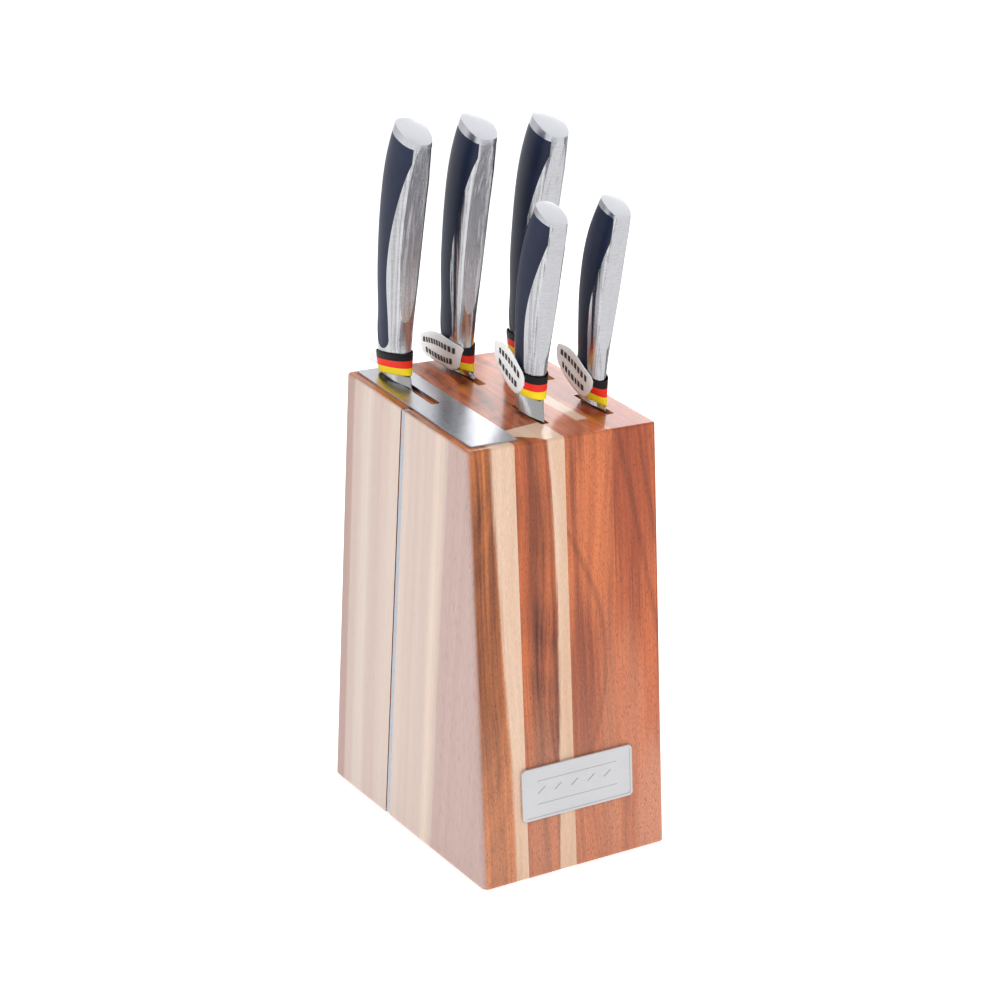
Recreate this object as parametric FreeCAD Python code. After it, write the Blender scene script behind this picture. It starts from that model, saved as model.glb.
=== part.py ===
"""Laminated hardwood knife block with five steel-handled knives.

Millimetres, +Z up. The row origin is the centre of the block's footprint on the surface that it
stands on: +X to the right, -Y to the front (name plate), +Y to the rear.
Two helper frames are used while building:
  block frame   x from the left face, y from the front bottom edge, z from the block's underside
  slot frame    x as above, s rearwards along the sloping top face, h out of the top face; the slots,
                the side strip, the rear face and every knife run along h
"""
import FreeCAD
import Part
import math
import os
from FreeCAD import Placement, Rotation, Vector

# ---- block ---------------------------------------------------------------------------------------
WIDTH = 100.0              # left to right
BASE_DEPTH = 151.0         # front to rear at the underside
REAR_HEIGHT = 216.0        # underside to the rear top edge
TILT = 6.0                 # slots, rear face and grain lean forward by this angle
FRONT_LEAN = 4.0           # front face leans back by this angle
SIDE_EDGE_R = 2.6          # rounding of the four upright edges
RIM_EDGE_R = 1.2           # rounding round the top and round the underside
GLUE_LINES = [0.0, 14.75, 24.0, 50.0, 75.5, 83.65, WIDTH]
FOOT_PROUD = 1.0
FOOT_DEPTH = 2.5
FOOT_R = 7.0
FOOT_INSET = 16.0

# ---- slots ---------------------------------------------------------------------------------------
SLOT_W = 4.5
SLOT_END_R = 1.0
BLADE_FLOOR = 4.0          # free depth under a blade's point

# ---- metal trim ----------------------------------------------------------------------------------
PLATE_X = (4.2, 28.5)
PLATE_S = (4.0, 112.4)
PLATE_T = 2.0
PLATE_PROUD = 0.8
PLATE_CORNER_R = 1.5
STRIP_S = 56.0             # front edge of the strip
STRIP_W = 3.0
STRIP_DEPTH = 3.2
STRIP_KERF = 4.0           # the saw cut leaves a shadow gap behind the strip
NAME_PLATE = (60.5, 25.4, 1.6)
NAME_PLATE_LEFT = 21.0
NAME_PLATE_UP = 28.0       # lower edge, measured up the front face
NAME_PLATE_CORNER_R = 2.2
NAME_PLATE_RIM = 1.3
NAME_PLATE_SUNK = 0.35     # the field lies this far below the rim
NAME_PLATE_CHAMFER = 0.3
LOZENGES = 5               # plain ornament: a row of lozenges between two thin rules
LOZENGE_PITCH = 9.0
LOZENGE_HALF = (3.6, 2.7)
RULE = (43.0, 0.8, 5.6)    # length, thickness, distance from the plate's middle
RELIEF_DROP = 0.05         # the ornament stays this far below the rim

# ---- knives --------------------------------------------------------------------------------------
BOLSTER_GAP = 0.4          # bolster's underside above the top face, at its front tip
BOLSTER_RISE = 5.0         # the underside climbs towards the spine by this angle
CAP_TILT = 17.0            # joint between handle and butt cap dips to the front by this angle
DOME_R = 40.0
DOME_LEAN = 21.0
INLAY_STEP = 0.25          # the inlays lie this far below the steel
INLAY_CORE = 4.4           # half the steel core's thickness between the inlays
CAVITY = (6.0, 11.0)       # hollow of the handle: thickness, depth
TANG = (3.0, 8.0)
TANG_START = 8.0
SCALLOP = (7.0, 4.2, 2.9)  # serrations: pitch, radius, centre in front of the edge
PAPER_T = 0.4
PAPER_GAP = 0.7
PAPER_LAP = 0.05           # label and band share this much, so that the tag is one piece
BAND_H = 10.3
BAND_STEPS = (-1.2, -0.6, 0.0, 0.6, 1.2)
LABEL_H = 18.2
LABEL_NOSE = 2.2
LABEL_STEPS = (-1.6, -0.8, 0.0, 0.8, 1.6)
LABEL_LEAD = 3.0           # the label starts this far in front of the band
LABEL_TURNS = 8
LABEL_POWER = 2.2
PAPER_CLEAR = 1.5          # lowest point of the paper above the top face
SECTION_POINTS = 28
REAR_POWER = 2.6           # squareness of the rear half of every section
FAR = 80.0                 # well clear of a handle or a tag

TAN_TILT = math.tan(math.radians(TILT))
TAN_LEAN = math.tan(math.radians(FRONT_LEAN))
REAR_TOP_Y = BASE_DEPTH - REAR_HEIGHT * TAN_TILT
FRONT_HEIGHT = (REAR_HEIGHT - REAR_TOP_Y * TAN_TILT) / (1.0 - TAN_LEAN * TAN_TILT)
FRONT_TOP_Y = FRONT_HEIGHT * TAN_LEAN
TOP_LENGTH = (REAR_TOP_Y - FRONT_TOP_Y) / math.cos(math.radians(TILT))
SLOT_FRAME = Placement(Vector(0, FRONT_TOP_Y, FRONT_HEIGHT), Rotation(Vector(1, 0, 0), TILT))
FRONT_FRAME = Placement(Vector(0, 0, 0), Rotation(Vector(1, 0, 0), -FRONT_LEAN))
ROW_SHIFT = Vector(-WIDTH / 2, -BASE_DEPTH / 2, FOOT_PROUD)

# A handle is described by stations up its length:
# (h, centre s, half depth to the front, half depth to the rear, half thickness, front power)
# Front power 2 is an ellipse; a lower one draws the front to a keel, a higher one squares it.
LARGE_STATIONS = [
    (BOLSTER_GAP, 0.0, 18.0, 8.0, 4.3, 1.25),
    (6.0, 0.0, 14.2, 9.0, 5.3, 1.6),
    (14.0, 0.0, 10.6, 9.6, 6.6, 2.2),
    (28.0, 0.0, 10.4, 10.2, 7.3, 2.5),
    (46.0, -0.3, 11.4, 11.3, 8.2, 2.6),
    (66.0, -1.3, 12.2, 12.2, 8.9, 2.6),
    (88.0, -3.3, 12.8, 12.6, 9.1, 2.6),
    (106.0, -6.2, 12.8, 12.2, 8.7, 2.6),
    (118.0, -8.6, 11.9, 10.8, 7.6, 2.6),
    (130.0, -11.4, 10.0, 8.4, 6.0, 2.6),
]
SMALL_STATIONS = [
    (BOLSTER_GAP, 0.0, 14.3, 7.0, 3.9, 1.25),
    (5.0, 0.0, 12.0, 7.8, 4.6, 1.6),
    (12.0, 0.0, 9.3, 8.5, 5.6, 2.2),
    (23.0, 0.0, 9.0, 8.9, 6.2, 2.5),
    (40.0, -0.3, 10.3, 10.2, 7.2, 2.6),
    (60.0, -1.4, 11.4, 11.2, 8.0, 2.6),
    (76.0, -3.4, 11.5, 11.0, 7.8, 2.6),
    (87.0, -5.7, 11.1, 10.0, 7.2, 2.6),
    (95.0, -7.6, 10.0, 8.6, 6.2, 2.6),
    (106.0, -10.2, 8.2, 6.6, 5.0, 2.6),
]
LARGE = {
    "stations": LARGE_STATIONS,
    "bolster_top": 13.0,
    "cap_base": (-8.4, 117.0),     # centre of the joint between handle and cap: s, h
    "cap_height": 4.8,
    "belly": [(-11.0, 20.0), (-10.8, 46.0), (-12.3, 66.0), (-15.0, 88.0), (-18.4, 106.0), (-23.0, 130.0)],
    "inlay_front": [(-5.2, 22.5), (-4.8, 33.0), (-4.4, 50.0), (-7.4, 72.0), (-13.0, 92.0), (-23.5, 122.0)],
    "inlay_tip": (-3.2, 16.8),
    "inlay_rear": [
        (5.4, 21.0), (8.3, 29.0), (9.2, 46.0), (9.2, 66.0), (7.4, 88.0), (4.0, 106.0), (-2.0, 124.0),
    ],
    "cavity": 96.0,
    "tang": 62.0,
}
SMALL = {
    "stations": SMALL_STATIONS,
    "bolster_top": 11.0,
    "cap_base": (-7.0, 94.1),
    "cap_height": 3.2,
    "belly": [(-9.6, 18.0), (-9.5, 38.0), (-11.2, 56.0), (-13.9, 76.0), (-16.0, 88.0), (-19.0, 106.0)],
    "inlay_front": [(-3.6, 20.0), (-3.4, 32.0), (-4.4, 48.0), (-8.9, 66.0), (-13.6, 80.0), (-20.0, 98.0)],
    "inlay_tip": (-2.2, 15.4),
    "inlay_rear": [(4.8, 18.5), (7.2, 26.0), (8.2, 42.0), (7.9, 60.0), (5.4, 76.0), (-2.0, 98.0)],
    "cavity": 76.0,
    "tang": 48.0,
}


def slimmer(form, amount):
    """The same handle with every station this much slimmer all round."""
    slim = dict(form)
    slim["stations"] = [
        (h, centre, front - amount, rear - amount, half - amount, power)
        for h, centre, front, rear, half, power in form["stations"]
    ]
    slim["belly"] = [(s + amount, h) for s, h in form["belly"]]
    return slim


def slot_box(x0, x1, s0, s1, h0, h1):
    """Box in the slot frame."""
    return Part.makeBox(x1 - x0, s1 - s0, h1 - h0, Vector(x0, s0, h0))


def to_block(shape):
    """Move a shape from the slot frame to the block frame."""
    return shape.transformed(SLOT_FRAME.toMatrix())


def upright_edges(shape, axis):
    """Straight edges of a shape that run along the given direction."""
    found = []
    for edge in shape.Edges:
        run = edge.valueAt(edge.LastParameter) - edge.valueAt(edge.FirstParameter)
        if run.Length > 1e-6 and run.normalize().cross(axis).Length < 1e-4:
            found.append(edge)
    return found


def rounded_box(x0, x1, s0, s1, h0, h1, radius):
    """Box in the slot frame with rounded upright edges."""
    box = slot_box(x0, x1, s0, s1, h0, h1)
    return box.makeFillet(radius, upright_edges(box, Vector(0, 0, 1)))


# ---- block ---------------------------------------------------------------------------------------
def block_envelope():
    """The whole block with its rounded edges, before it is divided into staves."""
    profile = [
        Vector(0, 0, 0),
        Vector(0, BASE_DEPTH, 0),
        Vector(0, REAR_TOP_Y, REAR_HEIGHT),
        Vector(0, FRONT_TOP_Y, FRONT_HEIGHT),
    ]
    face = Part.Face(Part.makePolygon(profile + profile[:1]))
    block = face.extrude(Vector(WIDTH, 0, 0))
    uprights = []
    for edge in block.Edges:
        ends = [vertex.Point for vertex in edge.Vertexes]
        if abs(ends[0].x - ends[1].x) < 1e-6 and abs(ends[0].z - ends[1].z) > 100.0:
            uprights.append(edge)
    block = block.makeFillet(SIDE_EDGE_R, uprights)
    middle = FRONT_HEIGHT / 2
    rims = []
    for edge in block.Edges:
        zs = [vertex.Point.z for vertex in edge.Vertexes]
        if min(zs) > middle:
            rims.append(edge)
    return block.makeFillet(RIM_EDGE_R, rims)


def slot_cutter(knife):
    x0 = knife["x"] - SLOT_W / 2
    x1 = knife["x"] + SLOT_W / 2
    s0, s1 = knife["slot"]
    depth = knife["blade_length"] + BLADE_FLOOR
    return rounded_box(x0, x1, s0, s1, -depth, 10.0, SLOT_END_R)


def foot_places():
    places = {}
    for side, x in (("left", FOOT_INSET), ("right", WIDTH - FOOT_INSET)):
        for end, y in (("front", FOOT_INSET), ("rear", BASE_DEPTH - FOOT_INSET)):
            places["foot_%s_%s" % (end, side)] = (x, y)
    return places


def make_foot(x, y, radius):
    """Round rubber foot with a softened lower rim."""
    foot = Part.makeCylinder(radius, FOOT_DEPTH, Vector(x, y, -FOOT_PROUD))
    lower = [edge for edge in foot.Edges if edge.BoundBox.ZMax < 0]
    return foot.makeFillet(0.3, lower)


def make_staves(knives):
    """Upright staves, glued face to face, with the slots, recesses and the strip's saw cut."""
    envelope = block_envelope()
    cutters = [to_block(slot_cutter(knife)) for knife in knives]
    plate_seat = rounded_box(
        PLATE_X[0], PLATE_X[1], PLATE_S[0], PLATE_S[1], PLATE_PROUD - PLATE_T, 10.0, PLATE_CORNER_R
    )
    cutters.append(to_block(plate_seat))
    kerf = slot_box(-5.0, STRIP_DEPTH, STRIP_S, STRIP_S + STRIP_KERF, -300.0, 20.0)
    cutters.append(to_block(kerf))
    notch = slot_box(-5.0, PLATE_X[0] + 1.0, STRIP_S, STRIP_S + STRIP_KERF, PLATE_PROUD - PLATE_T, 20.0)
    cutters.append(to_block(notch))
    for x, y in foot_places().values():
        cutters.append(Part.makeCylinder(FOOT_R, FOOT_DEPTH, Vector(x, y, -FOOT_PROUD)))
    staves = {}
    for index in range(len(GLUE_LINES) - 1):
        x0, x1 = GLUE_LINES[index], GLUE_LINES[index + 1]
        slab = Part.makeBox(x1 - x0, BASE_DEPTH + 20, REAR_HEIGHT + 20, Vector(x0, -10, -10))
        stave = envelope.common(slab)
        for cutter in cutters:
            if cutter.BoundBox.XMin < x1 and cutter.BoundBox.XMax > x0:
                stave = stave.cut(cutter)
        staves["stave_%d" % (index + 1)] = stave
    return staves


def make_top_plate(chef):
    """Brushed steel plate let into the top face, with the chef knife's slot through it."""
    plate = rounded_box(
        PLATE_X[0], PLATE_X[1], PLATE_S[0], PLATE_S[1], PLATE_PROUD - PLATE_T, PLATE_PROUD, PLATE_CORNER_R
    )
    upper = [edge for edge in plate.Edges if edge.BoundBox.ZMin > PLATE_PROUD - 0.01]
    plate = plate.makeChamfer(0.25, upper)
    return to_block(plate.cut(slot_cutter(chef)))


def make_side_strip():
    """Steel strip let into the left face, parallel to the slots, from the underside to the top."""
    strip = to_block(slot_box(0.0, STRIP_DEPTH, STRIP_S, STRIP_S + STRIP_W, -300.0, 0.0))
    floor = Part.makeBox(40, 300, 100, Vector(-20, -50, -99.5))
    return strip.cut(floor)


def make_name_plate():
    """Rectangular plate with a raised rim, a plain row of lozenges and two rules."""
    width, height, thick = NAME_PLATE
    plate = Part.makeBox(width, thick, height, Vector(NAME_PLATE_LEFT, -thick, NAME_PLATE_UP))
    plate = plate.makeFillet(NAME_PLATE_CORNER_R, upright_edges(plate, Vector(0, 1, 0)))
    outer = [edge for edge in plate.Edges if edge.BoundBox.YMax < -thick + 0.01]
    plate = plate.makeChamfer(NAME_PLATE_CHAMFER, outer)
    rim = NAME_PLATE_RIM
    field = Part.makeBox(
        width - 2 * rim, 1.0, height - 2 * rim,
        Vector(NAME_PLATE_LEFT + rim, -thick - 1.0 + NAME_PLATE_SUNK, NAME_PLATE_UP + rim),
    )
    field = field.makeFillet(NAME_PLATE_CORNER_R - 1.0, upright_edges(field, Vector(0, 1, 0)))
    plate = plate.cut(field)
    middle_x = NAME_PLATE_LEFT + width / 2
    middle_z = NAME_PLATE_UP + height / 2
    front_y = -thick + RELIEF_DROP
    relief_t = thick / 2
    half_x, half_z = LOZENGE_HALF
    for place in range(LOZENGES):
        x = middle_x + LOZENGE_PITCH * (place - (LOZENGES - 1) / 2)
        corners = [
            Vector(x - half_x, front_y, middle_z), Vector(x, front_y, middle_z + half_z),
            Vector(x + half_x, front_y, middle_z), Vector(x, front_y, middle_z - half_z),
        ]
        lozenge = Part.Face(Part.makePolygon(corners + corners[:1])).extrude(Vector(0, relief_t, 0))
        plate = plate.fuse(lozenge)
    length, rule_t, offset = RULE
    for z in (middle_z - offset, middle_z + offset):
        rule = Part.makeBox(length, relief_t, rule_t, Vector(middle_x - length / 2, front_y, z - rule_t / 2))
        plate = plate.fuse(rule)
    return plate.removeSplitter().transformed(FRONT_FRAME.toMatrix())


# ---- knives --------------------------------------------------------------------------------------
def section_wire(station, grow=0.0):
    """Closed smooth outline of the handle at one station, in the slot frame."""
    h, centre, front, rear, half, power = station
    points = []
    for step in range(SECTION_POINTS):
        angle = 2 * math.pi * step / SECTION_POINTS
        across = math.cos(angle)
        along = math.sin(angle)
        n = power if along < 0 else REAR_POWER
        n_side = 2.0 + (n - 2.0) * abs(along)
        reach = (rear if along > 0 else front) + grow
        x = (half + grow) * math.copysign(abs(across) ** (2.0 / max(n_side, 1.2)), across)
        s = centre + reach * math.copysign(abs(along) ** (2.0 / max(n_side, 1.2)), along)
        points.append(Vector(x, s, h))
    curve = Part.BSplineCurve()
    curve.interpolate(Points=points, PeriodicFlag=True)
    return Part.Wire([curve.toShape()])


def handle_loft(stations, grow=0.0):
    return Part.makeLoft([section_wire(station, grow) for station in stations], True, False)


def side_prism(points, tip, rear_points, reach):
    """Prism across the handle with the inlay's outline, seen from the side."""
    front = Part.BSplineCurve()
    front.interpolate([Vector(0, s, h) for s, h in points])
    rear = Part.BSplineCurve()
    rear.interpolate([Vector(0, s, h) for s, h in rear_points])
    lower = Part.Arc(
        Vector(0, points[0][0], points[0][1]),
        Vector(0, tip[0], tip[1]),
        Vector(0, rear_points[0][0], rear_points[0][1]),
    )
    upper = Part.LineSegment(
        Vector(0, points[-1][0], points[-1][1]), Vector(0, rear_points[-1][0], rear_points[-1][1])
    )
    edges = [front.toShape(), lower.toShape(), rear.toShape(), upper.toShape()]
    face = Part.Face(Part.Wire(Part.__sortEdges__(edges)))
    return face.extrude(Vector(reach, 0, 0))


def belly_cutter(points):
    """Everything in front of the flat that runs up the handle's belly."""
    curve = Part.BSplineCurve()
    curve.interpolate([Vector(-30, s, h) for s, h in points])
    low, high = points[0][1], points[-1][1]
    corners = [
        Vector(-30, points[-1][0], high), Vector(-30, -60, high),
        Vector(-30, -60, low), Vector(-30, points[0][0], low),
    ]
    edges = [curve.toShape()]
    for first, second in zip(corners[:-1], corners[1:]):
        edges.append(Part.LineSegment(first, second).toShape())
    return Part.Face(Part.Wire(Part.__sortEdges__(edges))).extrude(Vector(60, 0, 0))


def above_plane(base, tilt, size=80.0):
    """Half space above a plane through base, whose front side dips by tilt."""
    box = Part.makeBox(size, size, size, Vector(-size / 2, -size / 2, 0))
    return box.transformed(Placement(Vector(0, base[0], base[1]), Rotation(Vector(1, 0, 0), tilt)).toMatrix())


def make_grip(form):
    """Bolster, handle, inlays, butt cap and tang, all cut from one flowing form."""
    stations = form["stations"]
    belly = belly_cutter(form["belly"])
    cap_zone = above_plane(form["cap_base"], CAP_TILT)
    bolster_zone = slot_box(-40, 40, -60, 60, -10, form["bolster_top"])
    outer = handle_loft(stations).cut(belly)
    underside = above_plane((-stations[0][2], BOLSTER_GAP), BOLSTER_RISE)
    bolster = outer.common(bolster_zone).common(underside)
    handle = outer.cut(bolster_zone).cut(cap_zone)

    lean = math.radians(DOME_LEAN)
    crown_s = form["cap_base"][0] - form["cap_height"] * math.sin(lean)
    crown_h = form["cap_base"][1] + form["cap_height"] * math.cos(lean)
    centre = Vector(0, crown_s + DOME_R * math.sin(lean), crown_h - DOME_R * math.cos(lean))
    cap = outer.common(cap_zone).common(Part.makeSphere(DOME_R, centre))

    inner = handle_loft(stations, -INLAY_STEP).cut(belly).cut(cap_zone)
    inlays = {}
    for name, side in (("inlay_left", -1), ("inlay_right", 1)):
        prism = side_prism(form["inlay_front"], form["inlay_tip"], form["inlay_rear"], side * 30.0)
        prism.translate(Vector(side * INLAY_CORE, 0, 0))
        inlays[name] = inner.common(prism)
        handle = handle.cut(prism)
    cavity = slot_box(-CAVITY[0] / 2, CAVITY[0] / 2, -CAVITY[1] / 2, CAVITY[1] / 2, 0.0, form["cavity"])
    handle = handle.cut(cavity)
    tang = slot_box(-TANG[0] / 2, TANG[0] / 2, -TANG[1] / 2, TANG[1] / 2, TANG_START, form["tang"])
    return bolster, handle, cap, inlays, tang


def blade_outline(knife):
    """Side view of a blade in knife coordinates, from the heel to the point."""
    spine = knife["spine"]
    heel = knife["heel"]
    length = knife["blade_length"]
    drop = knife["heel_drop"]
    point_s = spine - knife["point_drop"]
    tip_s = -knife["form"]["stations"][0][2] + 1.0
    width = spine - heel
    spine_run = Part.BSplineCurve()
    spine_run.interpolate([
        Vector(0, spine, -0.45 * length),
        Vector(0, spine - 0.3 * knife["point_drop"], -0.8 * length),
        Vector(0, point_s, -length),
    ])
    edge_run = Part.BSplineCurve()
    edge_run.interpolate([
        Vector(0, point_s, -length),
        Vector(0, heel + 0.42 * width, -0.90 * length),
        Vector(0, heel + 0.10 * width, -0.62 * length),
        Vector(0, heel, -0.25 * length),
        Vector(0, heel, -drop - 3.0),
    ])
    corners = [
        Vector(0, heel, -drop - 3.0), Vector(0, heel + 2.0, -drop), Vector(0, tip_s, 0.0),
        Vector(0, tip_s + 0.4, 1.2), Vector(0, tip_s + 4.5, 4.0),
        Vector(0, spine - 1.0, 4.0), Vector(0, spine, 2.0), Vector(0, spine, -0.45 * length),
    ]
    edges = [edge_run.toShape(), spine_run.toShape()]
    for first, second in zip(corners[:-1], corners[1:]):
        edges.append(Part.LineSegment(first, second).toShape())
    return Part.Face(Part.Wire(Part.__sortEdges__(edges)))


def make_blade(knife, bolster, tang):
    """Blade ground to a wedge, with its bolster and tang forged on."""
    reach = 10.0
    thick = knife["thick"]
    plate = blade_outline(knife).extrude(Vector(reach, 0, 0))
    plate.translate(Vector(-reach / 2, 0, 0))
    spine, heel, length = knife["spine"], knife["heel"], knife["blade_length"]
    edge_half = 0.15
    corners = [
        Vector(-thick / 2, spine, -length - 1), Vector(thick / 2, spine, -length - 1),
        Vector(edge_half, heel, -length - 1), Vector(-edge_half, heel, -length - 1),
    ]
    wedge = Part.Face(Part.makePolygon(corners + corners[:1])).extrude(Vector(0, 0, length + 6))
    blade = plate.common(wedge)
    if knife["serrated"]:
        pitch, radius, forward = SCALLOP
        count = int(0.78 * length / pitch)
        for index in range(count):
            h = -12.0 - pitch * index
            start = Vector(-reach / 2, heel - forward, h)
            blade = blade.cut(Part.makeCylinder(radius, reach, start, Vector(1, 0, 0)))
    return blade.fuse(bolster).fuse(tang).removeSplitter()


def station_at(form, h):
    """The handle's measures at any height, between two of its stations."""
    stations = form["stations"]
    h = max(h, stations[0][0])
    for below, above in zip(stations[:-1], stations[1:]):
        if below[0] <= h <= above[0]:
            share = (h - below[0]) / (above[0] - below[0])
            return tuple(a + (b - a) * share for a, b in zip(below, above))
    return stations[-1]


def tilted_slab(middle, height, tilt):
    """Everything within half a height of a level that dips to the front by the tilt."""
    slab = slot_box(-40, 40, -60, 60, -height / 2, height / 2)
    slab.rotate(Vector(0, 0, 0), Vector(1, 0, 0), tilt)
    slab.translate(Vector(0, 0, middle))
    return slab


def paper_band(form, middle, tilt):
    """Closed band of paper that follows the swell of the bolster."""
    levels = [middle + step * BAND_H for step in BAND_STEPS]
    stations = [(level,) + station_at(form, level)[1:] for level in levels]
    outer = handle_loft(stations, PAPER_GAP + PAPER_T)
    inner = handle_loft(stations, PAPER_GAP)
    return outer.cut(inner).common(tilted_slab(middle, BAND_H, tilt))


def label_sheet(form, middle, s_end):
    """Sheet that hugs the front left quarter of the band and runs straight on to the rear."""
    wires = []
    near = PAPER_GAP + PAPER_T - PAPER_LAP
    for step in LABEL_STEPS:
        h = middle + step * BAND_H
        centre, front, rear, half, power = station_at(form, h)[1:]
        outside = []
        inside = []
        for turn in range(LABEL_TURNS + 1):
            angle = math.pi / 2 * turn / LABEL_TURNS
            for line, grow in ((outside, near + PAPER_T), (inside, near)):
                x = -(half + grow) * math.sin(angle) ** (2.0 / LABEL_POWER)
                s = centre - (front + grow) * math.cos(angle) ** (2.0 / min(power, LABEL_POWER))
                line.append(Vector(x, s, h))
        outside.append(Vector(outside[-1].x, s_end, h))
        inside.append(Vector(inside[-1].x, s_end, h))
        wires.append(Part.makePolygon(outside + inside[::-1] + [outside[0]]))
    return Part.makeLoft(wires, True, True)


def label_prism(s0, s1):
    """Side outline of a label: a lens with blunt ends, as tall as the band at each end."""
    half = LABEL_H / 2
    end = BAND_H / 2
    middle = (s0 + s1) / 2
    edges = [
        Part.Arc(Vector(0, s0, end), Vector(0, middle, half), Vector(0, s1, end)),
        Part.Arc(Vector(0, s1, end), Vector(0, s1 + LABEL_NOSE, 0), Vector(0, s1, -end)),
        Part.Arc(Vector(0, s1, -end), Vector(0, middle, -half), Vector(0, s0, -end)),
        Part.LineSegment(Vector(0, s0, -end), Vector(0, s0, end)),
    ]
    face = Part.Face(Part.Wire([edge.toShape() for edge in edges]))
    prism = face.extrude(Vector(2 * FAR, 0, 0))
    prism.translate(Vector(-FAR, 0, 0))
    return prism


def make_tag(knife):
    """Paper tag: a striped band round the handle that ends in a label beside or behind it."""
    form = knife["form"]
    middle = knife["band_middle"]
    level = middle + knife["label_up"]
    centre, front, rear = station_at(form, middle)[1:4]
    band = paper_band(form, middle, knife["band_tilt"])
    if knife["label"] == "behind":
        s0 = centre + rear + PAPER_GAP + PAPER_T / 2
        s1 = s0 + knife["label_end"]
        rear_end = s1 + LABEL_NOSE + 1.0
        label = slot_box(-PAPER_T / 2, PAPER_T / 2, s0, rear_end, level - LABEL_H, level + LABEL_H)
    else:
        s0 = centre - front - LABEL_LEAD
        s1 = centre + rear + knife["label_end"]
        label = label_sheet(form, level, s1 + LABEL_NOSE + 1.0)
        if knife["label"] == "right":
            label = label.mirror(Vector(0, 0, 0), Vector(1, 0, 0))
    outline = label_prism(s0, s1)
    outline.rotate(Vector(0, 0, 0), Vector(1, 0, 0), knife["label_tilt"])
    outline.translate(Vector(0, 0, level))
    above_block = slot_box(-FAR, FAR, -FAR, FAR, PAPER_CLEAR, FAR)
    return band.fuse(label.common(outline)).common(above_block)


KNIVES = [
    {
        "name": "chef", "x": 17.0, "s": 99.0, "form": LARGE, "slot": (57.5, 109.0),
        "blade_length": 200.0, "spine": 7.4, "heel": -35.0, "heel_drop": 9.0, "point_drop": 14.0,
        "thick": 2.4, "serrated": False, "band_middle": 8.4, "band_tilt": -9.0,
        "label_tilt": -14.0, "label_end": 21.0, "label_up": 0.0, "label": "behind",
    },
    {
        "name": "carving", "x": 51.2, "s": 99.5, "form": LARGE, "slot": (73.7, 109.5),
        "blade_length": 200.0, "spine": 7.4, "heel": -18.0, "heel_drop": 3.0, "point_drop": 10.0,
        "thick": 2.2, "serrated": False, "band_middle": 8.8, "band_tilt": 0.0,
        "label_tilt": -3.0, "label_end": 10.5, "label_up": 0.0, "label": "left",
    },
    {
        "name": "bread", "x": 85.9, "s": 93.5, "form": LARGE, "slot": (67.7, 103.5),
        "blade_length": 200.0, "spine": 7.4, "heel": -18.0, "heel_drop": 3.0, "point_drop": 9.0,
        "thick": 2.0, "serrated": True, "band_middle": 10.6, "band_tilt": 0.0,
        "label_tilt": 2.0, "label_end": 6.0, "label_up": 0.0, "label": "right",
    },
    {
        "name": "utility", "x": 51.2, "s": 33.0, "form": SMALL, "slot": (17.6, 44.0),
        "blade_length": 125.0, "spine": 6.4, "heel": -14.0, "heel_drop": 2.0, "point_drop": 8.0,
        "thick": 1.9, "serrated": False, "band_middle": 15.8, "band_tilt": 3.0,
        "label_tilt": 24.0, "label_end": 8.0, "label_up": 2.0, "label": "left",
    },
    {
        "name": "paring", "x": 85.9, "s": 34.6, "form": slimmer(SMALL, 0.4), "slot": (16.8, 45.0),
        "blade_length": 90.0, "spine": 6.2, "heel": -13.6, "heel_drop": 2.0, "point_drop": 8.0,
        "thick": 1.8, "serrated": False, "band_middle": 9.8, "band_tilt": 9.0,
        "label_tilt": 21.0, "label_end": 9.0, "label_up": 2.6, "label": "left",
    },
]


def make_knife(knife):
    bolster, handle, cap, inlays, tang = make_grip(knife["form"])
    pieces = {
        "blade": make_blade(knife, bolster, tang),
        "handle": handle,
        "butt_cap": cap,
        "tag": make_tag(knife),
    }
    pieces.update(inlays)
    placed = {}
    for piece, shape in pieces.items():
        shape = shape.copy()
        shape.translate(Vector(knife["x"], knife["s"], 0))
        placed["%s_%s" % (knife["name"], piece)] = to_block(shape)
    return placed


def make_parts():
    parts = make_staves(KNIVES)
    parts["top_plate"] = make_top_plate(KNIVES[0])
    parts["side_strip"] = make_side_strip()
    parts["name_plate"] = make_name_plate()
    for name, (x, y) in foot_places().items():
        parts[name] = make_foot(x, y, FOOT_R)
    for knife in KNIVES:
        parts.update(make_knife(knife))
    return parts


def main():
    os.makedirs("parts", exist_ok=True)
    for name, shape in make_parts().items():
        shape = shape.copy()
        shape.translate(ROW_SHIFT)
        shape.exportStep("parts/%s.step" % name)
        print("%-22s %d solid  valid %s  %.0f mm3" % (name, len(shape.Solids), shape.isValid(), shape.Volume))


main()
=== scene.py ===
"""Looks of the laminated knife block and its five knives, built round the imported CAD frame.

Metres, row frame: +X right, -Y front, +Z up. Places in materials and on tags are millimetres in
the slot frame: x from the left face, s rearwards along the top face, h out of the top face.
The paper tags are finer meshes that stand for their CAD nodes; every other piece is its CAD node.
"""
import math
import random

import bpy
from mathutils import Matrix, Vector


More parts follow.
